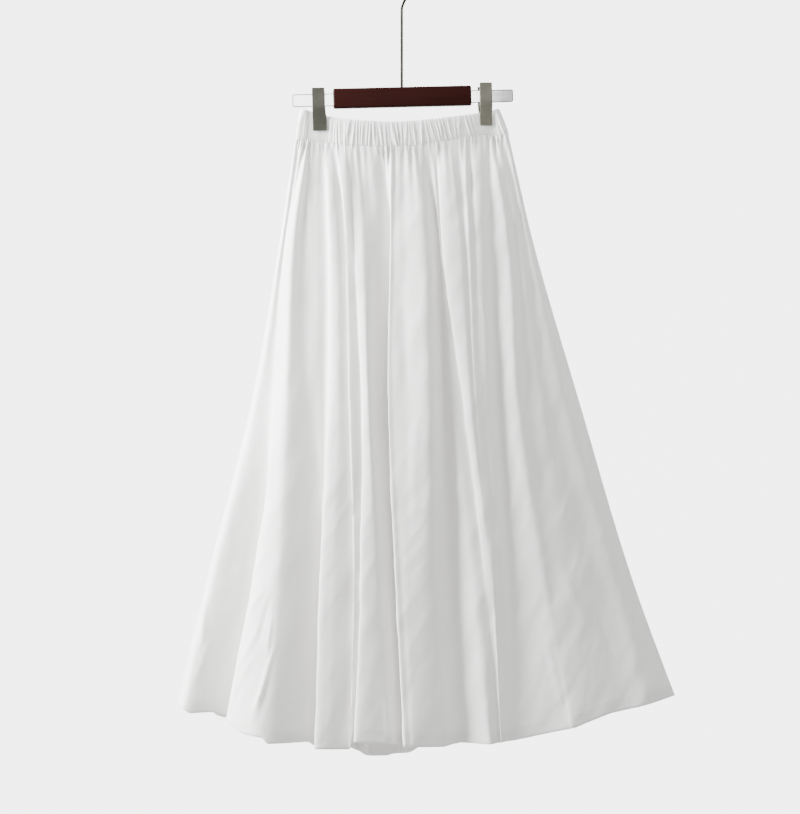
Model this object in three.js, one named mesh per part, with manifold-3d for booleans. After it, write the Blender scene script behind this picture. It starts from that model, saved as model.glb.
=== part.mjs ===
// Maxi skirt of light white cotton, gathered on an elastic waistband and hung
// by two clips from a wood and steel hanger.
//
// Millimetres, +Z up, X to the right, the front towards -Y. The origin is the
// inside top of the hook, where a rail touches it.

import * as THREE from "three";
import { mergeVertices } from "three/addons/utils/BufferGeometryUtils.js";
import Module from "manifold-3d";

// The cloth.
const PANEL_WALL = 1.2;          // one skirt panel, with the softness of its gathers
const BAND_WALL = 2.0;           // casing with the elastic inside it
const SEAM_GAP = 0.3;            // between neighbouring pieces
const LEVELS = [-257, -402.5, -612.5, -857.5, -1088.5];   // heights of the fold tables
const FRONT_DEPTH = [7, 26, 48, 66, 78];    // how far the front stands out at each level
const BACK_DEPTH = [7, 24, 42, 56, 64];
const PANEL_ROWS = 11;           // bands of facets from the waist to the hem
const STEPS_PER_FOLD = 2;        // facets between one fold line and the next
const HEM_ROUNDS = 3;
const FORM = { flat: 2.4, round: 0.6 };   // how flat the plain form is in front, how round at its sides

// The waistband.
const GATHERS_ROUND = 84;        // narrow tucks that the elastic pulls up
const GATHER_DEPTH = 1.3;
const BAND_ROWS = [              // share of the height, tuck depth, left end, right end
  [0.0, 0.75, -139, 137],
  [0.35, 1.0, -145, 143],
  [0.75, 1.0, -147, 149],
  [1.0, 0.55, -147, 151],
];
const BAND_LINE = [              // x, half the depth, how far back the middle lies
  [-127.5, 1.7, 0], [-115.5, 1.6, 0], [-103.5, 1.7, 0], [-80, 6.5, 0], [-40, 9.5, 0], [0, 10, 0],
  [45, 9.5, 0], [85, 6.5, 0], [105.6, 1.7, -1.9], [117.6, 1.6, 0], [129.6, 1.7, 1.9],
];
const BAND_END = 5;              // the front and back close together this near to each end
const BAND_END_DEPTH = 3.2;
const BAND_END_BACK = 0.9;
const PRESSED = 0.16;            // what a clip leaves of a tuck's depth
const GRIP = [11, 22];           // the tucks come back between these distances from a clip's middle

// The hanger.
const HANGER_TILT = THREE.MathUtils.degToRad(1.35);   // the right end hangs higher
const BAR_Z = -190.1;
const WOOD = { length: 193.5, height: 28, depth: 15, corner: 4, endRound: 2.5, x: 1.8, z: 1.4 };
const STRIP = { length: 309, height: 17.8, thick: 1.2, rim: 1.1, rimThick: 2.4, endRound: 3, x: 2.5 };
const RIM_QUARTER = [[2, 0.8], [1.5, 1], [0.5, 1], [0, 0.4]];   // rims from the edge, share of rimThick
const WIRE = 3.8;                // diameter of the hook
const STEM_X = 1;                // the stem stands a little right of the hook's middle
const STEM_HOLE = 6;             // how deep the stem goes into the wood
const HOOK_INSIDE = 20;          // inside radius of the hook
const HOOK_FOOT = -180.3;
const HOOK_LEAN = 66;            // below this depth the stem is straight
const HOOK_START = THREE.MathUtils.degToRad(-35);
const HOOK_SWEEP = THREE.MathUtils.degToRad(250);

// The clips. The plates are bent strips, drawn from the side.
const CLIP = { width: 17.6, sheet: 1.2, axleZ: -13.2, axle: 1.0, coil: 2.2, coilLength: 12 };
const JAW = [                    // height, how far the plate stands off
  [16.8, 8.2], [-7, 8.2], [-14, 8.8], [-27, 4.2], [-42.9, 4.0],
];
const FLARE = { top: -10, foot: -24 };   // a jaw widens between these heights
const BACK_SHORTER = 4.5;        // the back plate's top is lower
const EAR = { height: 4.2, reach: 10.2, front: -8.6 };
const CLIPS = [
  { side: "left", x: -115.5, lift: 0, yaw: 0, wider: 2.0 },
  { side: "right", x: 117.6, lift: 1.8, yaw: 9, wider: 0 },
];

// Height of the top edge of the band along x.
const BAND_TOP = [
  [-140, -204.4], [-105, -214.9], [-85, -218.8], [-60, -221.2], [-22, -223.7], [-1, -223.3],
  [25, -221.5], [52, -218.7], [83, -214.6], [108, -211.1], [136, -205.1],
];

// Height of the seam between band and panels along x.
const SEAM = [
  [-147, -248.5], [-133, -247.1], [-104, -252.0], [-74, -255.2], [-34, -257.5], [-1, -256.9],
  [20, -256.3], [43, -251.7], [90, -244.7], [112, -241.2], [150, -241.2],
];

// Height of the hem along x, front and back.
const FRONT_HEM = [
  [-307, -1038.0], [-293, -1046.6], [-263, -1045.6], [-243, -1053.2], [-226, -1064.0],
  [-217, -1070.0], [-190, -1074.5], [-183, -1082.5], [-128, -1083.0], [-118, -1090.4], [-71, -1091.4],
  [-64, -1080.4], [-29, -1083.1], [12, -1087.2], [59, -1088.6], [80, -1084.6], [124, -1085.0],
  [157, -1081.4], [177, -1077.6], [211, -1070.1], [240, -1064.1], [266, -1054.0],
  [290, -1045.5], [329, -1037.7], [363, -1029.7], [384, -1025.5],
];
const BACK_HEM = [
  [-307, -1038.0], [-270, -1050.0], [-225, -1067.0], [-170, -1086.0], [-110, -1098.0],
  [-80, -1102.0], [-66, -1112.0], [-20, -1118.0], [12, -1113.0], [30, -1103.0], [90, -1097.0],
  [160, -1089.0], [230, -1072.0], [300, -1049.0], [384, -1025.5],
];

// The fold lines of the front panel, left to right: x at the five levels, then how
// far the line lies inside the plain form at the top, the middle and the hem.
const FRONT_FOLDS = [
  ["side_left", -150, -172, -209, -270, -326, 0, 0, 0],
  ["roll_left", -146, -168, -202, -261, -312, -1, -9, -24],
  ["gap_a", -141, -164, -181, -190, -230, 0, 9, 33],
  ["edge_a", -136, -161, -172, -205, -248, -1, -6, -14],
  ["crest_a", -131, -150, -155, -169, -185, -3, -16, -34],
  ["gap_b", -125, -137, -128, -105, -108, 3, 10, 22],
  ["slope_b", -117, -118, -114, -105, -110, -2, 3, 12],
  ["rise_b", -111, -104, -105, -108, -114, 2, -2, -2],
  ["edge_b", -105, -99, -100, -112, -118, -2, -8, -18],
  ["crest_b", -99, -90, -87, -95, -100, -2, -8, -20],
  ["gap_c", -93, -76, -69, -61, -66, 2, 4, 8],
  ["edge_c", -87, -77, -72, -65, -70, -2, -8, -14],
  ["gap_d", -80, -64, -48, -52, -65, 2, 1, -8],
  ["edge_d", -74, -63, -50, -55, -64, -2, -6, -13],
  ["crest_d", -66, -51, -41, -30, -21, -3, -13, -20],
  ["slope_d", -52, -40, -32, -21, -11, 2, -2, -6],
  ["slope_e", -41, -32, -24, -12, -1, -2, 5, 10],
  ["gap_e", -28, -14, -15, -4, 9, 3, 12, 22],
  ["edge_e", -15, -15, -17, -7, 5, -3, -10, -18],
  ["flat_e", 3, 3, 6, 10, 20, 2, -9, -18],
  ["crest_e", 21, 35, 41, 43, 56, -3, -12, -18],
  ["gap_f", 36, 53, 60, 69, 84, 3, 12, 18],
  ["crest_f", 43, 56, 72, 100, 122, -1, 6, -20],
  ["gap_g", 49, 58, 85, 114, 128, 2, 8, 2],
  ["edge_g", 54, 58, 86, 117, 132, -3, -9, -4],
  ["crest_g", 67, 83, 95, 122, 136, -3, -9, -8],
  ["gap_h", 80, 90, 102, 126, 138, 2, -3, -9],
  ["edge_h", 88, 95, 104, 129, 140, -2, -7, -10],
  ["gap_i", 95, 103, 111, 132, 142, 2, -5, -11],
  ["edge_i", 101, 108, 115, 135, 144, -3, -8, -12],
  ["crest_i", 110, 114, 121, 140, 146, -2, -7, -14],
  ["gap_j", 122, 127, 135, 154, 166, 3, 13, 24],
  ["crest_j", 131, 154, 169, 203, 235, -3, -16, -24],
  ["gap_k", 137, 161, 176, 208, 240, -1, 3, 4],
  ["edge_k", 142, 167, 194, 237, 258, -2, -6, -12],
  ["gap_l", 146, 175, 205, 273, 322, 1, 4, 12],
  ["flat_l", 150, 182, 230, 302, 362, -1, -4, -7],
  ["side_right", 154, 188, 249, 322, 407, 0, 0, 0],
];

// The fold lines of the back panel, from its right side to its left, likewise.
const BACK_FOLDS = [
  ["side_right", 154, 188, 249, 322, 407, 0, 0, 0],
  ["roll_right", 149, 182, 239, 309, 388, -1, -6, -14],
  ["dip_1", 141, 168, 214, 272, 330, 0, 10, 30],
  ["crest_1", 128, 152, 192, 246, 300, -2, -13, -30],
  ["dip_2", 121, 141, 172, 214, 262, 2, 6, 8],
  ["crest_2", 110, 126, 156, 196, 244, -2, -7, -12],
  ["dip_3", 96, 108, 126, 148, 170, 3, 13, 28],
  ["crest_3", 88, 97, 112, 132, 148, -3, -11, -20],
  ["dip_4", 83, 90, 103, 121, 134, 2, -2, -6],
  ["crest_4", 72, 77, 88, 103, 112, -3, -9, -14],
  ["dip_5", 60, 62, 66, 70, 66, 3, 12, 26],
  ["crest_5", 50, 51, 52, 52, 44, -3, -12, -28],
  ["dip_6", 38, 36, 32, 26, 14, 2, 2, 4],
  ["crest_6", 29, 25, 18, 8, -8, -2, -6, -10],
  ["dip_7", 12, 6, -6, -22, -44, 3, 12, 24],
  ["crest_7", 3, -5, -19, -38, -62, -3, -12, -24],
  ["dip_8", -3, -13, -30, -53, -80, 1, 1, 0],
  ["crest_8", -14, -26, -46, -70, -96, -2, -8, -14],
  ["dip_9", -33, -45, -68, -98, -136, 3, 12, 30],
  ["crest_9", -42, -55, -79, -110, -148, -3, -10, -18],
  ["dip_10", -52, -67, -94, -128, -164, 2, 3, 4],
  ["crest_10", -69, -86, -116, -156, -200, -3, -13, -32],
  ["dip_11", -86, -104, -134, -176, -222, 2, 9, 20],
  ["crest_11", -94, -113, -145, -190, -236, -2, -7, -12],
  ["dip_12", -112, -132, -166, -214, -262, 2, 10, 24],
  ["crest_12", -122, -143, -180, -234, -284, -2, -9, -22],
  ["dip_13", -138, -159, -196, -252, -304, 0, 5, 12],
  ["side_left", -150, -172, -209, -270, -326, 0, 0, 0],
];

const CLOTH = { color: 0xecebe7, roughness: 0.9, metalness: 0 };
const LACQUER = { color: 0x48211b, roughness: 0.3, metalness: 0 };
const STEEL = { color: 0xc9cac6, roughness: 0.25, metalness: 1 };
const NICKEL = { color: 0x8f8d80, roughness: 0.35, metalness: 1 };

const object = new THREE.Group();

function part(name, geometry, finish, parent = object) {
  const mesh = new THREE.Mesh(geometry, new THREE.MeshStandardMaterial(finish));
  mesh.name = name;
  parent.add(mesh);
  return mesh;
}

// The value at x on a line given by [x, value] rows.
function valueAt(rows, x) {
  const next = rows.findIndex(([place]) => place > x);
  if (next === 0) return rows[0][1];
  if (next < 0) return rows[rows.length - 1][1];
  const [[x0, z0], [x1, z1]] = [rows[next - 1], rows[next]];
  return THREE.MathUtils.mapLinear(x, x0, x1, z0, z1);
}

// A value between the levels, on a smooth line through all five.
function atLevel(values, z) {
  const last = LEVELS.length - 1;
  const found = LEVELS.findIndex((level) => level < z);
  const i = THREE.MathUtils.clamp(found < 0 ? last - 1 : found - 1, 0, last - 1);
  const t = (LEVELS[i] - z) / (LEVELS[i] - LEVELS[i + 1]);
  const slope = (k) => {
    const [a, b] = [Math.max(k - 1, 0), Math.min(k + 1, last)];
    return (values[b] - values[a]) / (LEVELS[a] - LEVELS[b]) * (LEVELS[i] - LEVELS[i + 1]);
  };
  if (t < 0 || t > 1) return values[i] + (values[i + 1] - values[i]) * t;
  const [t2, t3] = [t * t, t * t * t];
  return (2 * t3 - 3 * t2 + 1) * values[i] + (t3 - 2 * t2 + t) * slope(i)
    + (3 * t2 - 2 * t3) * values[i + 1] + (t3 - t2) * slope(i + 1);
}

// The height at which a fold line meets the hem: the line leans, so its place is found
// by going back and forth between the two a few times.
function hemHeight(hem, values) {
  let foot = valueAt(hem, values[4]);
  for (let round = 0; round < HEM_ROUNDS; round++) foot = valueAt(hem, atLevel(values, foot));
  return foot;
}

// The plain form under the folds: how far it stands out at x.
function plainDepth(x, left, right, depth) {
  const t = Math.min(Math.abs(2 * (x - left) / (right - left) - 1), 1);
  return depth * Math.pow(1 - Math.pow(t, FORM.flat), FORM.round);
}

// Half the band's outline between its ends: x, half the depth, how far back the middle lies.
function bandHalf(left, right) {
  return [
    [left, 0, 0], [left + BAND_END, BAND_END_DEPTH, 0], ...BAND_LINE,
    [right - BAND_END, BAND_END_DEPTH, BAND_END_BACK], [right, 0, 0],
  ];
}

// Centre points of one panel, row by row from the seam to the hem. side is -1 for
// the front and +1 for the back. The first row follows the foot of the band.
function panelRows(folds, depths, hem, side) {
  const rows = [];
  const foot = bandHalf(...BAND_ROWS[BAND_ROWS.length - 1].slice(2));
  const halfDepths = foot.map(([x, depth]) => [x, Math.max(depth, PANEL_WALL)]);
  const middles = foot.map(([x, , back]) => [x, back]);
  const ends = [folds[0], folds[folds.length - 1]].sort((a, b) => a[1] - b[1]);
  for (let row = 0; row <= PANEL_ROWS; row++) {
    const lines = folds.map(([, ...values]) => {
      const top = valueAt(SEAM, values[0]) - SEAM_GAP;
      const z = THREE.MathUtils.lerp(top, hemHeight(hem, values), row / PANEL_ROWS);
      const [upper, middle, lower] = values.slice(5);
      const inside = atLevel([upper, (upper + middle) / 2, middle, (middle + lower) / 2, lower], z);
      const x = atLevel(values, z);
      const [left, right] = ends.map(([, ...end]) => atLevel(end, z));
      if (row === 0) return new THREE.Vector3(x, valueAt(middles, x) + side * valueAt(halfDepths, x), z);
      return new THREE.Vector3(x, side * (plainDepth(x, left, right, atLevel(depths, z)) - inside), z);
    });
    lines[0].y = lines[lines.length - 1].y = side * SEAM_GAP / 2;
    const curve = new THREE.CatmullRomCurve3(lines, false, "centripetal");
    const points = curve.getPoints((lines.length - 1) * STEPS_PER_FOLD);
    if (row === 0) points.forEach((point) => { point.z = valueAt(SEAM, point.x) - SEAM_GAP; });
    if (row === PANEL_ROWS) points.forEach((point) => { point.z = valueAt(hem, point.x); });
    rows.push(points);
  }
  return rows;
}

// Centre points of the band: one closed line per row, counter-clockwise from above.
function bandRows() {
  return BAND_ROWS.map(([share, tuck, left, right]) => {
    const half = bandHalf(left, right);
    const place = (side) => ([x, depth, middle]) => new THREE.Vector3(x, middle + side * depth, 0);
    const front = half.map(place(-1));
    const back = half.slice(1, -1).reverse().map(place(1));
    const line = new THREE.CatmullRomCurve3([...front, ...back], true, "centripetal");
    line.arcLengthDivisions = 1200;
    const count = 2 * GATHERS_ROUND;
    return Array.from({ length: count }, (_, k) => {
      const point = line.getPointAt(k / count);
      const along = line.getTangentAt(k / count);
      const grip = Math.min(...CLIPS.map((clip) => Math.abs(point.x - clip.x)));
      const height = THREE.MathUtils.lerp(PRESSED, 1, THREE.MathUtils.smoothstep(grip, ...GRIP));
      const push = (k % 2 ? 0.5 : -0.5) * GATHER_DEPTH * tuck * height;
      const z = THREE.MathUtils.lerp(valueAt(BAND_TOP, point.x), valueAt(SEAM, point.x), share);
      return new THREE.Vector3(point.x + along.y * push, point.y - along.x * push, z);
    });
  });
}

// A wall of one thickness about rows of centre points. An open wall ends flat
// across, a closed one runs round.
function wall(rows, thick, closed) {
  const across = rows[0].length;
  const positions = [];
  const index = [];
  rows.forEach((row) => {
    const offsets = row.map((point, k) => {
      const before = closed ? row[(k + across - 1) % across] : row[Math.max(k - 1, 0)];
      const after = closed ? row[(k + 1) % across] : row[Math.min(k + 1, across - 1)];
      const normal = new THREE.Vector3(after.y - before.y, before.x - after.x, 0).normalize();
      const atEnd = !closed && (k === 0 || k === across - 1);
      return atEnd ? new THREE.Vector3(Math.sign(normal.x), 0, 0) : normal;
    });
    for (const half of [thick / 2, -thick / 2]) {
      row.forEach((point, k) => positions.push(...point.clone().addScaledVector(offsets[k], half)));
    }
  });
  const outer = (i, k) => i * 2 * across + k % across;
  const inner = (i, k) => outer(i, k) + across;
  const quad = (a, b, c, d) => index.push(a, b, c, a, c, d);
  const last = rows.length - 1;
  const spans = closed ? across : across - 1;
  for (let k = 0; k < spans; k++) {
    for (let i = 0; i < last; i++) {
      quad(outer(i, k), outer(i + 1, k), outer(i + 1, k + 1), outer(i, k + 1));
      quad(inner(i, k), inner(i, k + 1), inner(i + 1, k + 1), inner(i + 1, k));
    }
    quad(outer(0, k), outer(0, k + 1), inner(0, k + 1), inner(0, k));
    quad(outer(last, k), inner(last, k), inner(last, k + 1), outer(last, k + 1));
  }
  for (let i = 0; i < last && !closed; i++) {
    quad(inner(i, 0), inner(i + 1, 0), outer(i + 1, 0), outer(i, 0));
    quad(outer(i, spans), outer(i + 1, spans), inner(i + 1, spans), inner(i, spans));
  }
  const geometry = new THREE.BufferGeometry();
  geometry.setAttribute("position", new THREE.Float32BufferAttribute(positions, 3));
  geometry.setIndex(index);
  return geometry;
}

// A rounded rectangle as a shape.
function roundedRectangle(width, height, corner) {
  const [w, h] = [width / 2, height / 2];
  const shape = new THREE.Shape();
  shape.moveTo(-w + corner, -h);
  shape.lineTo(w - corner, -h).absarc(w - corner, -h + corner, corner, -Math.PI / 2, 0);
  shape.lineTo(w, h - corner).absarc(w - corner, h - corner, corner, 0, Math.PI / 2);
  shape.lineTo(-w + corner, h).absarc(-w + corner, h - corner, corner, Math.PI / 2, Math.PI);
  shape.lineTo(-w, -h + corner).absarc(-w + corner, -h + corner, corner, Math.PI, 1.5 * Math.PI);
  return shape;
}

const wasm = await Module();
wasm.setup();

function solid(geometry) {
  const bare = geometry.clone();
  bare.deleteAttribute("normal");
  bare.deleteAttribute("uv");
  const merged = mergeVertices(bare, 1e-4);
  return new wasm.Manifold(new wasm.Mesh({
    numProp: 3,
    vertProperties: new Float32Array(merged.attributes.position.array),
    triVerts: new Uint32Array(merged.index.array),
  }));
}

function geometryOf(body) {
  const { vertProperties, triVerts } = body.getMesh();
  const geometry = new THREE.BufferGeometry();
  geometry.setAttribute("position", new THREE.BufferAttribute(new Float32Array(vertProperties), 3));
  geometry.setIndex(new THREE.BufferAttribute(new Uint32Array(triVerts), 1));
  return geometry;
}

// The hook: a straight stem, a short bend to the right and a round turn over the rail.
function hookWire() {
  const radius = HOOK_INSIDE + WIRE / 2;
  const turn = (angle) => new THREE.Vector3(
    radius * Math.cos(angle), 0, radius * Math.sin(angle) - HOOK_INSIDE,
  );
  const start = turn(HOOK_START);
  const bend = new THREE.Vector3(STEM_X, 0, start.z - (start.x - STEM_X) / Math.tan(-HOOK_START));
  const round = new THREE.Curve();
  round.getPoint = (t) => turn(HOOK_START + t * HOOK_SWEEP);
  const path = new THREE.CurvePath();
  const [foot, lean] = [HOOK_FOOT, -HOOK_LEAN].map((z) => new THREE.Vector3(STEM_X, 0, z));
  path.add(new THREE.LineCurve3(foot, lean));
  path.add(new THREE.QuadraticBezierCurve3(lean, bend, start));
  path.add(round);
  const section = new THREE.Shape().absarc(0, 0, WIRE / 2, 0, 2 * Math.PI);
  return new THREE.ExtrudeGeometry(section, { steps: 44, curveSegments: 5, extrudePath: path });
}

// The wood block: a long rounded bar with a slot for the strip and a hole for the stem.
function woodBlock() {
  const { length, height, depth, corner, endRound } = WOOD;
  const bar = new THREE.ExtrudeGeometry(
    roundedRectangle(height - 2 * endRound, depth - 2 * endRound, corner - endRound + 1),
    {
      depth: length - 2 * endRound, curveSegments: 4, bevelThickness: endRound,
      bevelSize: endRound, bevelSegments: 3,
    },
  );
  bar.translate(0, 0, -length / 2 + endRound).rotateY(Math.PI / 2);
  const slot = new THREE.BoxGeometry(
    length + 10, STRIP.rimThick + 2 * SEAM_GAP, STRIP.height + 2 * SEAM_GAP,
  ).translate(0, 0, -WOOD.z);
  const hole = new THREE.CylinderGeometry(WIRE / 2 + SEAM_GAP, WIRE / 2 + SEAM_GAP, 2 * STEM_HOLE, 16);
  // The stem is upright in the tilted bar, so the hole is set to meet it.
  const middle = WOOD.z + (height - STEM_HOLE) / 2;
  hole.rotateX(Math.PI / 2).translate(STEM_X + middle * Math.sin(HANGER_TILT) - WOOD.x, 0, height / 2);
  return geometryOf(solid(bar).subtract(solid(slot)).subtract(solid(hole)));
}

// The strip: flat steel with a rolled rim along the top and the bottom, and rounded corners.
function steelStrip() {
  const { length, height, thick, rim, rimThick, endRound } = STRIP;
  const quarter = (sideX, sideY) => RIM_QUARTER.map(
    ([from, share]) => [sideX * (height / 2 - from * rim), sideY * share * rimThick / 2],
  );
  const web = (sideX, sideY) => [sideX * (height / 2 - 2 * rim), sideY * thick / 2];
  const loop = [
    web(1, -1), ...quarter(1, -1), ...quarter(1, 1).reverse(), web(1, 1),
    web(-1, 1), ...quarter(-1, 1), ...quarter(-1, -1).reverse(), web(-1, -1),
  ];
  const section = new THREE.Shape(loop.map(([x, y]) => new THREE.Vector2(x, y)));
  const strip = new THREE.ExtrudeGeometry(section, { depth: length, bevelEnabled: false });
  strip.translate(0, 0, -length / 2).rotateY(Math.PI / 2);
  const outline = new THREE.ExtrudeGeometry(
    roundedRectangle(length, height + SEAM_GAP, endRound),
    { depth: 2 * rimThick, bevelEnabled: false, curveSegments: 5 },
  ).translate(0, 0, -rimThick).rotateX(Math.PI / 2);
  return geometryOf(solid(strip).intersect(solid(outline)));
}

// One clip plate: the bent sheet of JAW, standing off on the side given by -1 or +1, its
// right edge widening by wider below the strip, its top lower by shorter.
function clipPlate(side, wider, shorter) {
  const outline = new THREE.Shape();
  const [[top, ...stand], ...bends] = JAW;
  const line = [[top - shorter, ...stand], ...bends];
  const outside = line.map(([z, y]) => [side * (y + CLIP.sheet / 2), z]);
  const inside = line.map(([z, y]) => [side * (y - CLIP.sheet / 2), z]).reverse();
  const loop = [...outside, ...inside];
  loop.forEach(([y, z], k) => (k ? outline.lineTo(y, z) : outline.moveTo(y, z)));
  const plate = new THREE.ExtrudeGeometry(outline, { depth: CLIP.width, bevelEnabled: false });
  // The outline is drawn in the Y-Z plane and swept along X.
  const toPlace = new THREE.Matrix4().makeBasis(
    new THREE.Vector3(0, 1, 0), new THREE.Vector3(0, 0, 1), new THREE.Vector3(1, 0, 0),
  );
  plate.translate(0, 0, -CLIP.width / 2).applyMatrix4(toPlace);
  const place = plate.attributes.position;
  for (let k = 0; k < place.count; k++) {
    const flare = THREE.MathUtils.clamp((FLARE.top - place.getZ(k)) / (FLARE.top - FLARE.foot), 0, 1);
    if (place.getX(k) > 0) place.setX(k, place.getX(k) + wider * flare);
  }
  return plate;
}

// The front jaw also has two ears with the axle across them.
function frontJaw(wider) {
  const ear = (side) => new THREE.BoxGeometry(CLIP.sheet, EAR.reach, EAR.height)
    .translate(side * (CLIP.width - CLIP.sheet) / 2, EAR.front + EAR.reach / 2, CLIP.axleZ);
  const axle = new THREE.CylinderGeometry(CLIP.axle, CLIP.axle, CLIP.width - CLIP.sheet, 12)
    .rotateZ(Math.PI / 2).translate(0, 0, CLIP.axleZ);
  return geometryOf(solid(clipPlate(-1, wider, 0)).add(solid(ear(-1))).add(solid(ear(1))).add(solid(axle)));
}

// The spring: its turns as one sleeve round the axle.
function springSleeve() {
  const [inside, half] = [CLIP.axle + SEAM_GAP, CLIP.coilLength / 2];
  const profile = [[inside, -half], [CLIP.coil, -half], [CLIP.coil, half], [inside, half], [inside, -half]]
    .map(([radius, height]) => new THREE.Vector2(radius, height));
  return new THREE.LatheGeometry(profile, 16).rotateZ(Math.PI / 2).translate(0, 0, CLIP.axleZ);
}

part("waistband", wall(bandRows(), BAND_WALL, true), CLOTH);
part("skirt_front", wall(panelRows(FRONT_FOLDS, FRONT_DEPTH, FRONT_HEM, -1), PANEL_WALL, false), CLOTH);
part("skirt_back", wall(panelRows(BACK_FOLDS, BACK_DEPTH, BACK_HEM, 1), PANEL_WALL, false), CLOTH);

part("hook", hookWire(), STEEL);

const bar = new THREE.Group();
bar.position.z = BAR_Z;
bar.rotation.y = -HANGER_TILT;
object.add(bar);
part("wood_bar", woodBlock(), LACQUER, bar).position.set(WOOD.x, 0, WOOD.z);
part("steel_strip", steelStrip(), STEEL, bar).position.set(STRIP.x, 0, 0);

for (const { side, x, lift, yaw, wider } of CLIPS) {
  const clip = new THREE.Group();
  clip.position.set(x, 0, lift);
  clip.rotation.z = THREE.MathUtils.degToRad(yaw);
  bar.add(clip);
  part(`clip_${side}_front`, frontJaw(wider), NICKEL, clip);
  part(`clip_${side}_back`, clipPlate(1, wider, BACK_SHORTER), NICKEL, clip);
  part(`clip_${side}_spring`, springSleeve(), NICKEL, clip);
}

export default object;
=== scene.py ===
# %% [markdown]
# # A white gathered maxi skirt on a clip hanger
# The skirt is light, soft cotton in two flared panels, gathered into an elastic waistband.
# It hangs by two clips from a dark lacquered wood bar with a polished steel strip.
# Sizes are in millimetres in the tables and in metres in the meshes. Up is +Z, the
# front faces -Y, and the origin is the inside top of the hook.

# %% Load the frame
import bpy
import math
import numpy as np
from mathutils import Matrix, Vector, noise


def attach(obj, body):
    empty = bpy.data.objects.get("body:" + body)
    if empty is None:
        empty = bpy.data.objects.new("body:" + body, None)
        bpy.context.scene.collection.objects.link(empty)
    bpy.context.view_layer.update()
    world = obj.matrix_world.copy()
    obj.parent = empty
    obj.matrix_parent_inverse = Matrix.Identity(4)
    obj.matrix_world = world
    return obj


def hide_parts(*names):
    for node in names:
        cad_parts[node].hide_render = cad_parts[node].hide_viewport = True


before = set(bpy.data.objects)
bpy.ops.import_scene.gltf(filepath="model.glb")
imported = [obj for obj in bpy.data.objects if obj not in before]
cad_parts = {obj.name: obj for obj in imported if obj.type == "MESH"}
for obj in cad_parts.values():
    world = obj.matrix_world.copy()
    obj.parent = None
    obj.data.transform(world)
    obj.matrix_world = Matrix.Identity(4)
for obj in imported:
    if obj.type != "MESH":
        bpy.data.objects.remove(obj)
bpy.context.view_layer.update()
MM = 0.001

# %% [markdown]
# ## The camera
# The picture was taken square on from a few metres away, so the sides stay nearly parallel.
# Four metres keeps the slight spread that a room allows. One pixel is 1.40 mm at the skirt.

# %% The camera
DISTANCE = 4.0
PICTURE_HEIGHT = 814 * 1.40 * MM
CENTRE = (-1.4 * MM, -622.3 * MM)

lens = bpy.data.cameras.new("camera")
lens.sensor_width = 36
lens.lens = 36 * DISTANCE / PICTURE_HEIGHT
lens.clip_end = 50
camera = bpy.data.objects.new("camera", lens)
camera.location = (CENTRE[0], -DISTANCE, CENTRE[1])
camera.rotation_euler = (math.pi / 2, 0, 0)
bpy.context.collection.objects.link(camera)
bpy.context.scene.camera = camera
print("lens in millimetres", round(lens.lens, 1))

# %% [markdown]
# ## The form of the skirt
# A gathered skirt hangs in folds that start as tucks at the band and fan out to the hem.
# Each fold line is one row: its place across at five heights, then how far it lies inside
# the plain rounded form at the top, the middle and the hem. Ridges are negative.
# The front follows the picture, and its depths differ from the plain solid's, so that
# light falls as it does there. The back is unseen and has folds of the same kind.

# %% Heights and fold lines
LEVELS = (-257.0, -402.5, -612.5, -857.5, -1088.5)
FRONT_DEPTH = (7, 26, 48, 66, 78)
BACK_DEPTH = (7, 24, 42, 56, 64)
SEAM_GAP = 0.3

BAND_TOP = [
    (-140, -204.4), (-105, -214.9), (-85, -218.8), (-60, -221.2), (-22, -223.7), (-1, -223.3),
    (25, -221.5), (52, -218.7), (83, -214.6), (108, -211.1), (136, -205.1),
]

SEAM = [
    (-147, -248.5), (-133, -247.1), (-104, -252.0), (-74, -255.2), (-34, -257.5), (-1, -256.9),
    (20, -256.3), (43, -251.7), (90, -244.7), (112, -241.2), (150, -241.2),
]

BAND_LINE = [
    # x, half the depth, how far back the middle lies
    (-127.5, 1.7, 0), (-115.5, 1.6, 0), (-103.5, 1.7, 0), (-80, 6.5, 0), (-40, 9.5, 0), (0, 10, 0),
    (45, 9.5, 0), (85, 6.5, 0), (105.6, 1.7, -1.9), (117.6, 1.6, 0), (129.6, 1.7, 1.9),
]
BAND_END, BAND_END_DEPTH, BAND_END_BACK = 5, 3.2, 0.9
BAND_TOP_ENDS, BAND_FOOT_ENDS = (-139, 137), (-147, 151)

FRONT_HEM = [
    (-307, -1038.0), (-293, -1046.6), (-263, -1045.6), (-243, -1053.2), (-226, -1064.0),
    (-217, -1070.0), (-190, -1074.5), (-183, -1082.5), (-128, -1083.0), (-118, -1090.4), (-71, -1091.4),
    (-64, -1080.4), (-29, -1083.1), (12, -1087.2), (59, -1088.6), (80, -1084.6), (124, -1085.0),
    (157, -1081.4), (177, -1077.6), (211, -1070.1), (240, -1064.1), (266, -1054.0),
    (290, -1045.5), (329, -1037.7), (363, -1029.7), (384, -1025.5),
]

BACK_HEM = [
    (-307, -1038.0), (-270, -1050.0), (-225, -1067.0), (-170, -1086.0), (-110, -1098.0),
    (-80, -1102.0), (-66, -1112.0), (-20, -1118.0), (12, -1113.0), (30, -1103.0), (90, -1097.0),
    (160, -1089.0), (230, -1072.0), (300, -1049.0), (384, -1025.5),
]

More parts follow.
